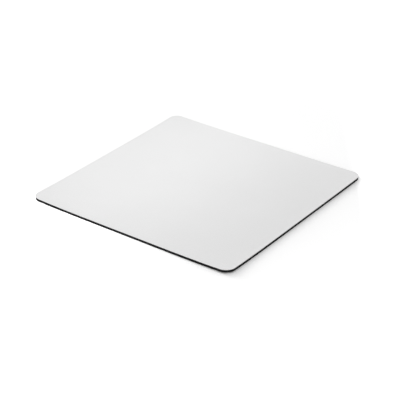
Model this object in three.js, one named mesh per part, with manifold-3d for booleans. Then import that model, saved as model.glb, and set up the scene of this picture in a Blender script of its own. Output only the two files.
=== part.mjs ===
// Desktop mouse pad: a white knitted face bonded by a hot-melt film to a sheet of black foam rubber,
// die-cut through all three layers in one stroke, with a wavy non-slip tread embossed underneath.
// Millimetres, +Z up. The origin is the middle of the underside, on the plane the pad rests on.
import * as THREE from "three";
import { mergeVertices } from "three/addons/utils/BufferGeometryUtils.js";
import Module from "manifold-3d";

const wasm = await Module();
wasm.setup();

// Driving dimensions of the cut sheet
const padWidth = 240; // along X, the long side
const padLength = 235; // along Y
const cornerRadius = 10; // corners of the cutting die

// Driving dimensions of the layers, from the desk up
const rubberThickness = 2.5; // foam rubber, measured on the lands of the tread
const filmThickness = 0.1; // hot-melt film
const fabricThickness = 0.4; // knitted polyester

// Driving dimensions of the cut edge
const edgeRoll = 0.3; // radius that the die presses onto the top edge of the fabric
const wallHollow = 0.25; // the foam springs back hollow by this much at mid height
const filmSetback = 0.1; // the film ends this far inside the cut

// Driving dimensions of the tread
const groovePitch = 5.5; // from one groove to the next, along Y
const grooveMouth = 1.4; // width of a groove where it opens
const grooveDepth = 0.3;
const waveLength = 30; // of the wave that every groove follows, along X
const waveSwing = 1.8; // how far the wave leaves its middle line, to each side

// Largest share of the fabric's thickness that its rolled edge may take
const rollShare = 0.8;
// How far a cutting tool runs past what it cuts
const overrun = 1;

// Counts of flats that stand in for the curves
const cornerDivisions = 6; // a corner has two flats for each
const rollSteps = 3;
const wallSteps = 4;
const waveSteps = 4; // flats in one wave

// Heights where the layers meet, shared by the faces on both sides
const rubberTop = rubberThickness;
const filmTop = rubberTop + filmThickness;
const fabricTop = filmTop + fabricThickness;

// One turn round the die's outline at one height, anticlockwise seen from above.
// A setback moves the whole outline inwards and keeps it parallel to the die.
function outlineAt(height, setback) {
  const halfWidth = padWidth / 2 - setback;
  const halfLength = padLength / 2 - setback;
  const radius = cornerRadius - setback;
  const right = halfWidth - radius;
  const back = halfLength - radius;
  const outline = new THREE.Shape();
  outline.absarc(right, -back, radius, -Math.PI / 2, 0);
  outline.absarc(right, back, radius, 0, Math.PI / 2);
  outline.absarc(-right, back, radius, Math.PI / 2, Math.PI);
  outline.absarc(-right, -back, radius, Math.PI, (3 * Math.PI) / 2);
  return outline
    .getPoints(cornerDivisions)
    .map((point) => new THREE.Vector3(point.x, point.y, height));
}

// Closed surface through rings of points that match one to one. Each ring turns anticlockwise as seen
// from where the loft ends, and the first and last ring are capped.
function loft(rings) {
  const ringSize = rings[0].length;
  const lastRing = rings.length - 1;
  const vertex = (ring, point) => ring * ringSize + (point % ringSize);
  const faces = [];
  for (let ring = 0; ring < lastRing; ring += 1) {
    for (let point = 0; point < ringSize; point += 1) {
      const here = vertex(ring, point);
      const beside = vertex(ring, point + 1);
      const above = vertex(ring + 1, point);
      const across = vertex(ring + 1, point + 1);
      faces.push(here, beside, across, here, across, above);
    }
  }
  for (let point = 1; point < ringSize - 1; point += 1) {
    faces.push(vertex(0, 0), vertex(0, point + 1), vertex(0, point));
    faces.push(vertex(lastRing, 0), vertex(lastRing, point), vertex(lastRing, point + 1));
  }
  const surface = new THREE.BufferGeometry().setFromPoints(rings.flat());
  surface.setIndex(faces);
  return surface;
}

function solidFrom(surface) {
  const bare = surface.clone();
  bare.deleteAttribute("normal");
  bare.deleteAttribute("uv");
  const merged = mergeVertices(bare);
  return new wasm.Manifold(
    new wasm.Mesh({
      numProp: 3,
      vertProperties: new Float32Array(merged.attributes.position.array),
      triVerts: new Uint32Array(merged.index.array),
    }),
  );
}

function surfaceFrom(solid) {
  const mesh = solid.getMesh();
  const surface = new THREE.BufferGeometry();
  surface.setAttribute("position", new THREE.BufferAttribute(mesh.vertProperties, mesh.numProp));
  surface.setIndex(new THREE.BufferAttribute(mesh.triVerts, 1));
  return surface;
}

// Knitted face: a square cut below, and the top edge rolled over by the die.
function fabricSurface() {
  const roll = Math.min(edgeRoll, fabricThickness * rollShare);
  const rings = [outlineAt(filmTop, 0)];
  for (let step = 0; step <= rollSteps; step += 1) {
    const angle = (step / rollSteps) * (Math.PI / 2);
    const height = fabricTop - roll * (1 - Math.sin(angle));
    rings.push(outlineAt(height, roll * (1 - Math.cos(angle))));
  }
  return loft(rings);
}

// Hot-melt film: it flowed before the sheet was cut, so its edge lies a little inside the cut.
function filmSurface() {
  return loft([outlineAt(rubberTop, filmSetback), outlineAt(filmTop, filmSetback)]);
}

// Blank of the base: the foam is squeezed while the blade passes and springs back to a hollow wall.
function rubberBlank() {
  const rings = [];
  for (let step = 0; step <= wallSteps; step += 1) {
    const share = step / wallSteps;
    const hollow = wallHollow * 4 * share * (1 - share);
    rings.push(outlineAt(share * rubberTop, hollow));
  }
  return solidFrom(loft(rings));
}

// Middle line of a groove, sideways from its row, at one place along X. The flats lie half a step
// off the crests, so the division brings them out to the full swing.
function waveAt(x) {
  return (waveSwing * Math.cos((2 * Math.PI * x) / waveLength)) / Math.cos(Math.PI / waveSteps);
}

// Cutter for one V groove: its section is carried along X and follows the wave sideways.
function grooveCutter(row) {
  const middle = row * groovePitch;
  const reach = padWidth / 2 + overrun;
  const stepLength = waveLength / waveSteps;
  const stations = Math.ceil(reach / stepLength);
  const halfWidthBelow = ((grooveMouth / 2) * (grooveDepth + overrun)) / grooveDepth;
  const rings = [];
  for (let station = -stations; station <= stations; station += 1) {
    const x = (station + 0.5) * stepLength;
    const y = middle + waveAt(x);
    rings.push([
      new THREE.Vector3(x, y - halfWidthBelow, -overrun),
      new THREE.Vector3(x, y + halfWidthBelow, -overrun),
      new THREE.Vector3(x, y, grooveDepth),
    ]);
  }
  return solidFrom(loft(rings));
}

// Foam base: the tread was pressed into the whole sheet, so its grooves run out through the cut edge.
function rubberSurface() {
  const farRow = Math.ceil((padLength / 2 + waveSwing) / groovePitch);
  let base = rubberBlank();
  for (let row = -farRow; row <= farRow; row += 1) {
    base = base.subtract(grooveCutter(row));
  }
  return surfaceFrom(base);
}

function piece(name, surface, look) {
  const shown = surface.toNonIndexed();
  shown.computeVertexNormals();
  const mesh = new THREE.Mesh(shown, new THREE.MeshStandardMaterial(look));
  mesh.name = name;
  return mesh;
}

const mousePad = new THREE.Group();
mousePad.name = "mouse_pad";
mousePad.add(
  piece("rubber_base", rubberSurface(), { color: 0x1c1c1d, roughness: 0.92, metalness: 0 }),
  piece("adhesive_film", filmSurface(), { color: 0xd8d6cf, roughness: 0.4, metalness: 0 }),
  piece("fabric_top", fabricSurface(), { color: 0xf0f0f0, roughness: 0.9, metalness: 0 }),
);

export default mousePad;
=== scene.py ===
"""Desktop mouse pad: a white knitted face on black foam rubber, seen lying on a white studio sweep.

Metres, +Z up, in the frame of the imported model. The sections follow the pad as it is laid up, from the
desk upwards: foam rubber base, hot-melt film, knitted face. The studio and the camera come last.
"""

import math

import bmesh
import bpy
from mathutils import Matrix, Vector


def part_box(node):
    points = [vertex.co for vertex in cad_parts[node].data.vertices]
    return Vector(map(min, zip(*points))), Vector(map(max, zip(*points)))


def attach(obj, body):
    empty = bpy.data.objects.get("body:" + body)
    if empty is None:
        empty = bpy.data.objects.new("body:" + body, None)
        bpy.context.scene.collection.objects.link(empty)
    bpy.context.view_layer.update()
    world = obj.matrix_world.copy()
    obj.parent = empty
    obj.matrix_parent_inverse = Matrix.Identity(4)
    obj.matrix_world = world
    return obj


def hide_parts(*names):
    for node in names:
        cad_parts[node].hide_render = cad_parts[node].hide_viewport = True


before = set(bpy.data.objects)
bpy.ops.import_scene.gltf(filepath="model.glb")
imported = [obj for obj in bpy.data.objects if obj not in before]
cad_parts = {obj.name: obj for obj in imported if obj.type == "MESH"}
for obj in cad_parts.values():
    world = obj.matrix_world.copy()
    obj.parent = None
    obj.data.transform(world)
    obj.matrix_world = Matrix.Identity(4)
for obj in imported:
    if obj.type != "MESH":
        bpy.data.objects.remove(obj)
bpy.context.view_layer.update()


# Foam rubber base
#
# A sheet of black foam rubber. A hot roller pressed the wavy non-slip tread into its underside, and the
# die then cut the sheet through the tread. The blade squeezes the foam, which springs back a little
# hollow and shows its cells on the wall, while the pressed underside keeps a closed, grained skin.

millimetre = 0.001
base_low, base_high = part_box("rubber_base")
half_width = base_high.x
half_length = base_high.y
base_thickness = base_high.z - base_low.z
corner_radius = 10 * millimetre
wall_hollow = 0.25 * millimetre
groove_pitch = 5.5 * millimetre
groove_mouth = 1.4 * millimetre
groove_depth = 0.3 * millimetre
wave_length = 30 * millimetre
wave_swing = 1.8 * millimetre
lip_strip = 0.15 * millimetre
strips_in_groove = 6
steps_in_wave = 12
corner_flats = 16
# Rise of each corner, by its sides along X and Y, at the point that the die rounds off
corner_curls = {
    (1, -1): 1.5 * millimetre,
    (1, 1): 0.63 * millimetre,
    (-1, -1): 1.43 * millimetre,
    (-1, 1): 1.14 * millimetre,
}
curl_reach = 75 * millimetre
curl_power = 4
wall_shares = (0.15, 0.3, 0.45, 0.6, 0.75, 0.9, 1.0)
inner_cell = 12 * millimetre
# A point this near a cutting plane counts as on it, so that no cut leaves a sliver.
touching = 0.001 * millimetre
crease = math.radians(35)

cut_black = (0.0105, 0.0105, 0.0107)
cut_cell = 0.32 * millimetre
cut_pit_depth = 0.12 * millimetre
cut_patch = 6 * millimetre
skin_black = (0.017, 0.017, 0.0175)
skin_grain = 0.5 * millimetre
skin_grain_depth = 0.03 * millimetre
skin_patch = 25 * millimetre


def with_borders(faces):
    """The faces with their corners and edges, each once and in the same order in every run."""
    parts = dict.fromkeys(faces)
    for face in faces:
        parts.update(dict.fromkeys(face.verts[:] + face.edges[:]))
    return list(parts)


def die_cut(bm, setback):
    """Trims a flat sheet to the rounded outline of the die, drawn in by the setback."""
    radius = corner_radius - setback
    for side in range(4):
        facing = Matrix.Rotation(side * math.pi / 2, 3, "Z") @ Vector((1, 0, 0))
        reach = (half_width if side % 2 == 0 else half_length) - setback
        everything = bm.verts[:] + bm.edges[:] + bm.faces[:]
        bmesh.ops.bisect_plane(
            bm,
            geom=everything,
            dist=touching,
            plane_co=facing * reach,
            plane_no=facing,
            clear_outer=True,
        )
    for across, along in ((1, 1), (-1, 1), (-1, -1), (1, -1)):
        centre = Vector(
            (across * (half_width - corner_radius), along * (half_length - corner_radius), 0)
        )
        faces = [
            face
            for face in bm.faces
            if any(
                (vert.co.x - centre.x) * across > 0 and (vert.co.y - centre.y) * along > 0
                for vert in face.verts
            )
        ]
        corner = with_borders(faces)
        for flat in range(1, corner_flats):
            angle = flat / corner_flats * math.pi / 2
            facing = Vector((across * math.cos(angle), along * math.sin(angle), 0))
            cut = bmesh.ops.bisect_plane(
                bm,
                geom=corner,
                dist=touching,
                plane_co=centre + facing * radius,
                plane_no=facing,
                clear_outer=True,
            )
            corner = cut["geom"]


def outward(point):
    """Level unit vector out of the sheet, square to the die's outline nearest the point."""
    past = Vector(
        (
            max(abs(point.x) - (half_width - corner_radius), 0) * math.copysign(1, point.x),
            max(abs(point.y) - (half_length - corner_radius), 0) * math.copysign(1, point.y),
            0,
        )
    )
    return past.normalized()


def open_rim(bm):
    return [edge for edge in bm.edges if edge.is_boundary]


def next_ring(bm, rim, spread, height=None, drop=0):
    """Draws a new ring out of the rim: moved outwards by spread, and set at height or lowered by drop."""
    drawn = bmesh.ops.extrude_edge_only(bm, edges=rim)["geom"]
    for vert in drawn:
        if isinstance(vert, bmesh.types.BMVert):
            vert.co += outward(vert.co) * spread
            vert.co.z = vert.co.z - drop if height is None else height
    return [edge for edge in drawn if isinstance(edge, bmesh.types.BMEdge)]


def covered(bm, rim):
    """Fills the rim with a level face, cut into cells so that it can follow the curl of the sheet."""
    cells = bmesh.ops.contextual_create(bm, geom=rim)["faces"]
    cover = with_borders(cells)
    for facing, reach in ((Vector((1, 0, 0)), half_width), (Vector((0, 1, 0)), half_length)):
        lines_each_side = math.floor(reach / inner_cell)
        for line in range(-lines_each_side, lines_each_side + 1):
            place = facing * line * inner_cell
            cut = bmesh.ops.bisect_plane(
                bm, geom=cover, dist=touching, plane_co=place, plane_no=facing
            )
            cover = cut["geom"]


def curled(point):
    """Rise of the sheet towards its nearest corner, which curls up a little as the knit shrinks."""
    corner = (math.copysign(1, point.x), math.copysign(1, point.y))
    from_corner = (half_width - abs(point.x) + half_length - abs(point.y)) / math.sqrt(2)
    return corner_curls[corner] * max(0, 1 - from_corner / curl_reach) ** curl_power


def finished_piece(name, bm, materials, sharp_angle):
    for vert in bm.verts:
        vert.co.z += curled(vert.co)
    bmesh.ops.recalc_face_normals(bm, faces=bm.faces)
    mesh = bpy.data.meshes.new(name)
    bm.to_mesh(mesh)
    bm.free()
    for material in materials:
        mesh.materials.append(material)
    mesh.shade_smooth()
    mesh.set_sharp_from_angle(angle=sharp_angle)
    piece = bpy.data.objects.new(name, mesh)
    bpy.context.scene.collection.objects.link(piece)
    return piece


def add_node(tree, kind, **settings):
    node = tree.nodes.new(kind)
    for setting, value in settings.items():
        setattr(node, setting, value)
    return node


def feed(tree, socket, source):
    """Sets a socket to a number or colour, or links it to another socket."""
    if isinstance(source, bpy.types.NodeSocket):
        tree.links.new(source, socket)
    else:
        socket.default_value = source


def reckon(tree, operation, *terms):
    node = add_node(tree, "ShaderNodeMath", operation=operation)
    for socket, term in zip(node.inputs, terms):
        feed(tree, socket, term)
    return node.outputs[0]


def stretch_range(tree, value, low, high, to_low, to_high):
    """Carries the value from the range low to high over to the range to_low to to_high, eased."""
    node = add_node(tree, "ShaderNodeMapRange", interpolation_type="SMOOTHSTEP")
    for socket, term in zip(node.inputs, (value, low, high, to_low, to_high)):
        feed(tree, socket, term)
    return node.outputs["Result"]


def new_group(name, inputs, outputs):
    """Empty shader group with a Vector input for the place, and float inputs and outputs."""
    group = bpy.data.node_groups.new(name, "ShaderNodeTree")
    group.interface.new_socket("Place", in_out="INPUT", socket_type="NodeSocketVector")
    for label in inputs:
        group.interface.new_socket(label, in_out="INPUT", socket_type="NodeSocketFloat")
    for label in outputs:
        group.interface.new_socket(label, in_out="OUTPUT", socket_type="NodeSocketFloat")
    entry = add_node(group, "NodeGroupInput")
    leave = add_node(group, "NodeGroupOutput")
    return group, entry.outputs, leave.inputs


def place_group(tree, group, place, **values):
    node = add_node(tree, "ShaderNodeGroup", node_tree=group)
    feed(tree, node.inputs["Place"], place)
    for label, value in values.items():
        feed(tree, node.inputs[label.replace("_", " ").capitalize()], value)
    return node.outputs


def foam_cells_group():
    """Small pits of burst cells: their depth, and a mask of the deepest ones."""
    group, given, result = new_group(
        "foam_cells", ("Cell size", "Raggedness"), ("Height", "Pits")
    )
    scale = reckon(group, "DIVIDE", 1.0, given["Cell size"])
    ragged = add_node(group, "ShaderNodeTexNoise", noise_dimensions="3D")
    feed(group, ragged.inputs["Vector"], given["Place"])
    feed(group, ragged.inputs["Scale"], scale)
    ragged.inputs["Detail"].default_value = 2
    shifted = add_node(group, "ShaderNodeVectorMath", operation="MULTIPLY_ADD")
    feed(group, shifted.inputs[0], ragged.outputs["Color"])
    feed(group, shifted.inputs[1], reckon(group, "MULTIPLY", given["Cell size"], given["Raggedness"]))
    feed(group, shifted.inputs[2], given["Place"])
    cells = add_node(group, "ShaderNodeTexVoronoi", feature="F1")
    feed(group, cells.inputs["Vector"], shifted.outputs[0])
    feed(group, cells.inputs["Scale"], scale)
    feed(group, result["Height"], cells.outputs["Distance"])
    feed(group, result["Pits"], stretch_range(group, cells.outputs["Distance"], 0.1, 0.4, 1, 0))
    return group


def uneven_tone_group():
    """Slow drift of tone over the sheet, a multiplier close to one."""
    group, given, result = new_group("uneven_tone", ("Patch size", "Contrast"), ("Tone",))
    drift = add_node(group, "ShaderNodeTexNoise", noise_dimensions="3D")
    feed(group, drift.inputs["Vector"], given["Place"])
    feed(group, drift.inputs["Scale"], reckon(group, "DIVIDE", 1.0, given["Patch size"]))
    drift.inputs["Detail"].default_value = 3
    centred = reckon(group, "SUBTRACT", drift.outputs["Fac"], 0.5)
    swing = reckon(group, "MULTIPLY", centred, given["Contrast"])
    feed(group, result["Tone"], reckon(group, "ADD", swing, 1.0))
    return group


foam_cells = foam_cells_group()
uneven_tone = uneven_tone_group()


def new_material(name):
    """Material with a Principled shader; gives the material, its tree, the shader and the place."""
    material = bpy.data.materials.new(name)
    material.use_nodes = True
    tree = material.node_tree
    shader = tree.nodes["Principled BSDF"]
    place = add_node(tree, "ShaderNodeTexCoord").outputs["Object"]
    return material, tree, shader, place


def toned(tree, colour, *tones):
    """The colour, times each of the tones."""
    product = colour
    for tone in tones:
        node = add_node(tree, "ShaderNodeVectorMath", operation="SCALE")
        feed(tree, node.inputs[0], product)
        feed(tree, node.inputs["Scale"], tone)
        product = node.outputs[0]
    return product


def raised(tree, shader, height, distance, strength=1.0):
    """Shades the surface as if the height stood out of it, with 1 as far out as the distance."""
    bump = add_node(tree, "ShaderNodeBump")
    bump.inputs["Strength"].default_value = strength
    bump.inputs["Distance"].default_value = distance
    feed(tree, bump.inputs["Height"], height)
    feed(tree, shader.inputs["Normal"], bump.outputs["Normal"])


def cut_foam_material():
    """Die-cut wall: matt black with burst cells."""
    material, tree, shader, place = new_material("cut_foam")
    cells = place_group(tree, foam_cells, place, cell_size=cut_cell, raggedness=0.6)
    drift = place_group(tree, uneven_tone, place, patch_size=cut_patch, contrast=0.3)
    # Painted shade and light: the black is made darker in the pits of the burst cells and lighter on the
    # ridges between them.
    pit_painted_shade = stretch_range(tree, cells["Pits"], 0, 1, 1.25, 0.7)
    black = toned(tree, cut_black, drift["Tone"], pit_painted_shade)
    feed(tree, shader.inputs["Base Color"], black)
    feed(tree, shader.inputs["Roughness"], stretch_range(tree, cells["Pits"], 0, 1, 0.85, 1.0))
    shader.inputs["Specular IOR Level"].default_value = 0.1
    raised(tree, shader, cells["Height"], cut_pit_depth, strength=0.8)
    return material


def pressed_skin_material():
    """Pressed underside: closed skin with a fine grain from the roller."""
    material, tree, shader, place = new_material("pressed_skin")
    grain = place_group(tree, foam_cells, place, cell_size=skin_grain, raggedness=0.9)
    drift = place_group(tree, uneven_tone, place, patch_size=skin_patch, contrast=0.25)
    black = toned(tree, skin_black, drift["Tone"])
    feed(tree, shader.inputs["Base Color"], black)
    feed(tree, shader.inputs["Roughness"], stretch_range(tree, grain["Pits"], 0, 1, 0.58, 0.7))
    shader.inputs["Specular IOR Level"].default_value = 0.4
    raised(tree, shader, grain["Height"], skin_grain_depth)
    return material


def rubber_base():
    rows_each_side = math.ceil((half_length + wave_swing) / groove_pitch)
    # A row has the strips of its groove, a narrow one beside each lip, which keeps the shading of the
    # land flat, and the land.
    strips_in_row = strips_in_groove + 3
    row_count = 2 * rows_each_side + 1
    columns_each_side = math.ceil(half_width / wave_length * steps_in_wave) + 1
    bm = bmesh.new()
    strip_count = row_count * strips_in_row
    bmesh.ops.create_grid(bm, x_segments=2 * columns_each_side, y_segments=strip_count, size=1)
    for vert in bm.verts:
        column = round(vert.co.x * columns_each_side)
        row, strip = divmod(round((vert.co.y + 1) / 2 * strip_count), strips_in_row)
        across = min(max((strip - 1) / strips_in_groove, 0), 1) - 0.5
        beside = lip_strip * ((strip > strips_in_groove + 1) - (strip == 0))
        x = column * wave_length / steps_in_wave
        wave = wave_swing * math.cos(2 * math.pi * x / wave_length)
        vert.co.x = x
        vert.co.y = (row - rows_each_side) * groove_pitch + across * groove_mouth + beside + wave
        vert.co.z = base_low.z + groove_depth * (1 + math.cos(2 * math.pi * across)) / 2
    die_cut(bm, 0)
    tread = bm.faces[:]
    rim = open_rim(bm)
    hollow = 0
    for share in wall_shares:
        next_hollow = wall_hollow * 4 * share * (1 - share)
        height = base_low.z + share * base_thickness
        rim = next_ring(bm, rim, hollow - next_hollow, height=height)
        hollow = next_hollow
    for face in tread:
        face.material_index = 1
    covered(bm, rim)
    return finished_piece(
        "rubber_base_foam", bm, [cut_foam_material(), pressed_skin_material()], crease
    )


base = rubber_base()
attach(base, "root")
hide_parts("rubber_base")


# Hot-melt film
#
# A web of milky adhesive, melted between the foam and the knit while the rollers pressed them together.
# It shows only in the cut, as a hairline between the black and the white, slightly back from the edge.

film_low, film_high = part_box("adhesive_film")
film_setback = half_width - film_high.x
film_milk = (0.62, 0.61, 0.58)
film_bubble = 0.3 * millimetre
film_ripple = 0.01 * millimetre
film_patch = 10 * millimetre
film_glow_depth = 0.2 * millimetre


def melt_film_material():
    material, tree, shader, place = new_material("melt_film")
    bubbles = place_group(tree, foam_cells, place, cell_size=film_bubble, raggedness=0.4)
    drift = place_group(tree, uneven_tone, place, patch_size=film_patch, contrast=0.1)
    feed(tree, shader.inputs["Base Color"], toned(tree, film_milk, drift["Tone"]))
    feed(tree, shader.inputs["Roughness"], stretch_range(tree, bubbles["Pits"], 0, 1, 0.35, 0.5))
    shader.inputs["Subsurface Weight"].default_value = 0.2
    shader.inputs["Subsurface Scale"].default_value = film_glow_depth
    raised(tree, shader, bubbles["Height"], film_ripple)
    return material


def adhesive_film():
    bm = bmesh.new()
    cells_across = math.ceil(2 * half_width / inner_cell)
    bmesh.ops.create_grid(bm, x_segments=cells_across, y_segments=cells_across, size=half_width)
    bmesh.ops.translate(bm, verts=bm.verts, vec=(0, 0, film_low.z))
    die_cut(bm, film_setback)
    covered(bm, next_ring(bm, open_rim(bm), 0, height=film_high.z))
    return finished_piece("adhesive_film_web", bm, [melt_film_material()], crease)


film = adhesive_film()
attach(film, "root")
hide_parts("adhesive_film")


# Knitted face
#
# A fine white polyester knit, pressed flat by hot rollers so that a mouse glides on it. It is bonded to
# the foam all over and has no hem: the foam swells at the cut and lifts the face's rim a little, and the
# die rolls its top edge over and leaves the cut ends of the yarn.

face_low, face_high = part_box("fabric_top")
edge_roll = 0.3 * millimetre
roll_steps = 4
rim_width = 1.4 * millimetre
rim_rise = 0.12 * millimetre
rim_steps = 5
weave_grid = 4 * millimetre
unevenness = 0.05 * millimetre
rolled_crease = math.radians(50)

wale_width = 0.55 * millimetre
course_height = 0.45 * millimetre
courses_up_a_leg = 0.7
stitch_depth = 0.02 * millimetre
knit_white = (0.82, 0.82, 0.82)
knit_patch = 50 * millimetre
lint_patch = 1.5 * millimetre
yarn_white = (0.9, 0.9, 0.9)
yarn_end = 0.14 * millimetre
yarn_end_depth = 0.05 * millimetre
yarn_patch = 4 * millimetre


def knit_group():
    """Columns of V-shaped stitches: the height of the yarn, and how deep in the gaps a point lies."""
    group, given, result = new_group(
        "knit", ("Wale width", "Course height"), ("Height", "Gaps")
    )
    split = add_node(group, "ShaderNodeSeparateXYZ")
    feed(group, split.inputs[0], given["Place"])
    wale = reckon(group, "DIVIDE", split.outputs["X"], given["Wale width"])
    course = reckon(group, "DIVIDE", split.outputs["Y"], given["Course height"])
    half_wale = 0.5
    across = reckon(group, "PINGPONG", wale, half_wale)
    lean = reckon(group, "MULTIPLY", across, courses_up_a_leg / half_wale)
    phase = reckon(group, "ADD", course, lean)
    leg = reckon(group, "SINE", reckon(group, "MULTIPLY", phase, 2 * math.pi))
    rib = reckon(group, "SINE", reckon(group, "MULTIPLY", across, 2 * math.pi))
    legs = reckon(group, "MULTIPLY_ADD", leg, 0.5, 0.5)
    ribs = reckon(group, "ABSOLUTE", rib)
    height = reckon(group, "MULTIPLY", reckon(group, "MULTIPLY_ADD", legs, 0.6, 0.4), ribs)
    feed(group, result["Height"], height)
    feed(group, result["Gaps"], stretch_range(group, height, 0.0, 0.5, 1, 0))
    return group


knit = knit_group()


def knit_material():
    """Face of the knit: soft white, with a faint sheen of the pressed filaments."""
    material, tree, shader, place = new_material("white_knit")
    stitch = place_group(tree, knit, place, wale_width=wale_width, course_height=course_height)
    drift = place_group(tree, uneven_tone, place, patch_size=knit_patch, contrast=0.03)
    lint = place_group(tree, uneven_tone, place, patch_size=lint_patch, contrast=0.04)
    # Painted shade: the white is made darker in the gaps between the stitches, where the yarns shade each
    # other.
    gap_painted_shade = stretch_range(tree, stitch["Gaps"], 0, 1, 1.0, 0.93)
    white = toned(tree, knit_white, drift["Tone"], lint["Tone"], gap_painted_shade)
    feed(tree, shader.inputs["Base Color"], white)
    feed(tree, shader.inputs["Roughness"], stretch_range(tree, stitch["Gaps"], 0, 1, 0.9, 1.0))
    shader.inputs["Specular IOR Level"].default_value = 0.02
    shader.inputs["Sheen Weight"].default_value = 0.12
    shader.inputs["Sheen Roughness"].default_value = 0.5
    raised(tree, shader, stitch["Height"], stitch_depth)
    return material


def cut_yarn_material():
    """Cut edge of the knit: packed ends of white filaments."""
    material, tree, shader, place = new_material("cut_yarn")
    ends = place_group(tree, foam_cells, place, cell_size=yarn_end, raggedness=0.8)
    drift = place_group(tree, uneven_tone, place, patch_size=yarn_patch, contrast=0.1)
    feed(tree, shader.inputs["Base Color"], toned(tree, yarn_white, drift["Tone"]))
    feed(tree, shader.inputs["Roughness"], stretch_range(tree, ends["Pits"], 0, 1, 0.8, 0.95))
    shader.inputs["Specular IOR Level"].default_value = 0.2
    raised(tree, shader, ends["Height"], yarn_end_depth)
    return material


def sag(x, y):
    """How far the face lies below its nominal height, where the foam is a little thin.

    Slow swells of about 200 mm carry quicker ones of about 80 mm; the factors are radians a metre.
    """
    slow = math.sin(31 * x + 12 * y) * math.cos(27 * y - 9 * x)
    quick = math.sin(83 * x - 41 * y + 1.3) * math.sin(67 * y + 29 * x)
    return unevenness * (0.5 - 0.35 * slow - 0.15 * quick)


def fabric_face():
    bm = bmesh.new()
    cells_across = math.ceil(2 * half_width / weave_grid)
    bmesh.ops.create_grid(bm, x_segments=cells_across, y_segments=cells_across, size=half_width)
    die_cut(bm, edge_roll + rim_width)
    for vert in bm.verts:
        vert.co.z = face_high.z - sag(vert.co.x, vert.co.y)
    rim = open_rim(bm)
    for step in range(1, rim_steps + 1):
        rise = rim_rise * (step**2 - (step - 1) ** 2) / rim_steps**2
        rim = next_ring(bm, rim, rim_width / rim_steps, drop=-rise)
    for step in range(1, roll_steps + 1):
        before = (step - 1) / roll_steps * math.pi / 2
        now = step / roll_steps * math.pi / 2
        spread = edge_roll * (math.sin(now) - math.sin(before))
        drop = edge_roll * (math.cos(before) - math.cos(now))
        rim = next_ring(bm, rim, spread, drop=drop)
        # The knit's face runs on over the first step of the roll, and below it the cut yarns begin.
        if step == 1:
            knit_faces = len(bm.faces)
    rim = next_ring(bm, rim, 0, height=face_low.z)
    bm.faces.ensure_lookup_table()
    for face in bm.faces[knit_faces:]:
        face.material_index = 1
    covered(bm, rim)
    return finished_piece(
        "fabric_top_face", bm, [knit_material(), cut_yarn_material()], rolled_crease
    )


face = fabric_face()
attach(face, "root")
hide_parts("fabric_top")


# Studio
#
# White sweep under and behind the pad, and even light from all round. A low and a high soft lamp on the
# pad's left draw the short shadow on its right, and a narrow beam from above lightens the middle.

sweep_reach = 6
paper_lit = 0.8
paper_seen = 0.98
brightening_middle = (-0.12, 0.05, 0)
brightening_start, brightening_end = 0.05, 0.9
least_brightening, most_brightening = 0.015, 0.6
front_glare = 0.8
front_glare_start, front_glare_end = -95 * millimetre, -120 * millimetre
front_glare_left, front_glare_right = -100 * millimetre, 100 * millimetre
corner_glare = 0.3
corner_glare_start, corner_glare_end = 157 * millimetre, 167 * millimetre
camera_azimuth = math.radians(36.497)
right_in_photo = (math.cos(camera_azimuth), math.sin(camera_azimuth), 0)
even_strength = 0.694
even_seen = 1
left_lamps_away = 1.424
left_lamps_height = 1.2
low_lamp_width = 0.243
low_lamp_middle = 0.165
low_lamp_power = 16.1
high_lamp_width = 0.78
high_lamp_middle = 1.008
high_lamp_power = 10.7
overhead_size = (0.148, 0.288)
overhead_place = (-0.042, 0.019, 0.645)
overhead_power = 0.0151
overhead_beam = math.radians(20.3)


def seen_by_camera(tree):
    """1 in what the camera sees, also mirrored or through glass, and 0 in the light on the pad."""
    sight = add_node(tree, "ShaderNodeLightPath")
    seen = reckon(tree, "MAXIMUM", sight.outputs["Is Camera Ray"], sight.outputs["Is Glossy Ray"])
    return reckon(tree, "MAXIMUM", seen, sight.outputs["Is Transmission Ray"])


def sweep_material():
    """White paper. The camera sees it brighten away from the pad, where the lamps fall off, and where the
    photo is overexposed: up to the foam in front of the pad's left half, and past its right corner."""
    material, tree, shader, place = new_material("white_sweep")
    seen = seen_by_camera(tree)
    paper = stretch_range(tree, seen, 0, 1, paper_lit, paper_seen)
    feed(tree, shader.inputs["Base Color"], toned(tree, (1, 1, 1), paper))
    shader.inputs["Roughness"].default_value = 1
    shader.inputs["Specular IOR Level"].default_value = 0
    distance = add_node(tree, "ShaderNodeVectorMath", operation="DISTANCE")
    feed(tree, distance.inputs[0], place)
    distance.inputs[1].default_value = brightening_middle
    lift = stretch_range(
        tree,
        distance.outputs["Value"],
        brightening_start,
        brightening_end,
        least_brightening,
        most_brightening,
    )
    split = add_node(tree, "ShaderNodeSeparateXYZ")
    feed(tree, split.inputs[0], place)
    in_front = stretch_range(
        tree, split.outputs["Y"], front_glare_end, front_glare_start, front_glare, 0
    )
    on_left = stretch_range(tree, split.outputs["X"], front_glare_left, front_glare_right, 1, 0)
    lift = reckon(tree, "MULTIPLY_ADD", in_front, on_left, lift)
    rightward = add_node(tree, "ShaderNodeVectorMath", operation="DOT_PRODUCT")
    feed(tree, rightward.inputs[0], place)
    rightward.inputs[1].default_value = right_in_photo
    past_corner = stretch_range(
        tree, rightward.outputs["Value"], corner_glare_start, corner_glare_end, 0, corner_glare
    )
    lift = reckon(tree, "MINIMUM", reckon(tree, "ADD", lift, past_corner), 1)
    shader.inputs["Emission Color"].default_value = (1, 1, 1, 1)
    feed(tree, shader.inputs["Emission Strength"], reckon(tree, "MULTIPLY", lift, seen))
    return material


def sweep():
    bm = bmesh.new()
    bmesh.ops.create_grid(bm, x_segments=1, y_segments=1, size=sweep_reach)
    mesh = bpy.data.meshes.new("sweep")
    bm.to_mesh(mesh)
    bm.free()
    mesh.materials.append(sweep_material())
    floor = bpy.data.objects.new("sweep", mesh)
    bpy.context.scene.collection.objects.link(floor)
    return floor


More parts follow.
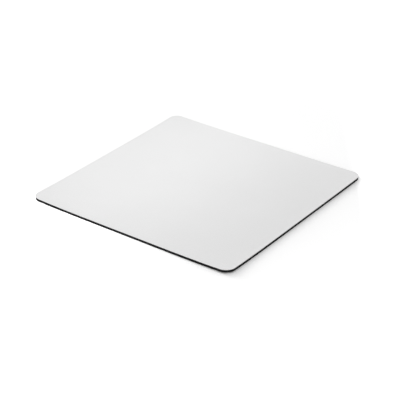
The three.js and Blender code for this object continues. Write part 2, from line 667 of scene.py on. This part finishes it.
def soft_lamp(name, size, power, place, turn, beam=math.pi):
    """Rectangular lamp, which shines straight down before its turn."""
    lamp = bpy.data.lights.new(name, "AREA")
    lamp.shape = "RECTANGLE"
    lamp.size, lamp.size_y = size
    lamp.energy = power
    lamp.spread = beam
    stand = bpy.data.objects.new(name, lamp)
    stand.matrix_world = Matrix.Translation(place) @ turn
    bpy.context.scene.collection.objects.link(stand)


def even_light(strength):
    world = bpy.data.worlds.new("even_light")
    world.use_nodes = True
    tree = world.node_tree
    seen = seen_by_camera(tree)
    level = stretch_range(tree, seen, 0, 1, strength, even_seen)
    background = tree.nodes["Background"]
    background.inputs["Color"].default_value = (1, 1, 1, 1)
    feed(tree, background.inputs["Strength"], level)
    bpy.context.scene.world = world


sweep()
even_light(even_strength)
upright = Matrix.Rotation(-math.pi / 2, 4, "Y")
soft_lamp(
    "low_left",
    size=(left_lamps_height, low_lamp_width),
    power=low_lamp_power,
    place=(-left_lamps_away, 0, low_lamp_middle),
    turn=upright,
)
soft_lamp(
    "high_left",
    size=(left_lamps_height, high_lamp_width),
    power=high_lamp_power,
    place=(-left_lamps_away, 0, high_lamp_middle),
    turn=upright,
)
soft_lamp(
    "overhead",
    size=overhead_size,
    power=overhead_power,
    place=overhead_place,
    turn=Matrix.Identity(4),
    beam=overhead_beam,
)


# Camera
#
# Found from the four edges of the pad in the photograph: their vanishing points give the lens and the
# tilt, and the edges' places give the distance and the point that the camera looks at.

focal_pixels = 1362.5
picture_pixels = 400
sensor_millimetres = 36
camera_pitch = math.radians(28.972)
camera_roll = math.radians(-0.09)
camera_distance = 1351.0 * millimetre
look_right = 0.789 * millimetre
look_near = 24.293 * millimetre
nearest_seen = 10 * millimetre


def photo_camera():
    ahead = Vector((0, math.cos(camera_pitch), -math.sin(camera_pitch)))
    side = Vector((1, 0, 0))
    top = side.cross(ahead)
    roll = Matrix.Rotation(-camera_roll, 3, ahead)
    side, top = roll @ side, roll @ top
    turn = Matrix.Rotation(camera_azimuth, 3, "Z")
    target = turn @ Vector((look_right, -look_near, 0))
    ahead, side, top = turn @ ahead, turn @ side, turn @ top
    lens = bpy.data.cameras.new("photo_camera")
    lens.lens = focal_pixels / picture_pixels * sensor_millimetres
    lens.sensor_width = sensor_millimetres
    lens.clip_start = nearest_seen
    camera = bpy.data.objects.new("photo_camera", lens)
    facing = Matrix((side, top, -ahead)).transposed().to_4x4()
    camera.matrix_world = Matrix.Translation(target - ahead * camera_distance) @ facing
    bpy.context.scene.collection.objects.link(camera)
    bpy.context.scene.camera = camera


photo_camera()
bpy.context.scene.view_settings.view_transform = "Standard"
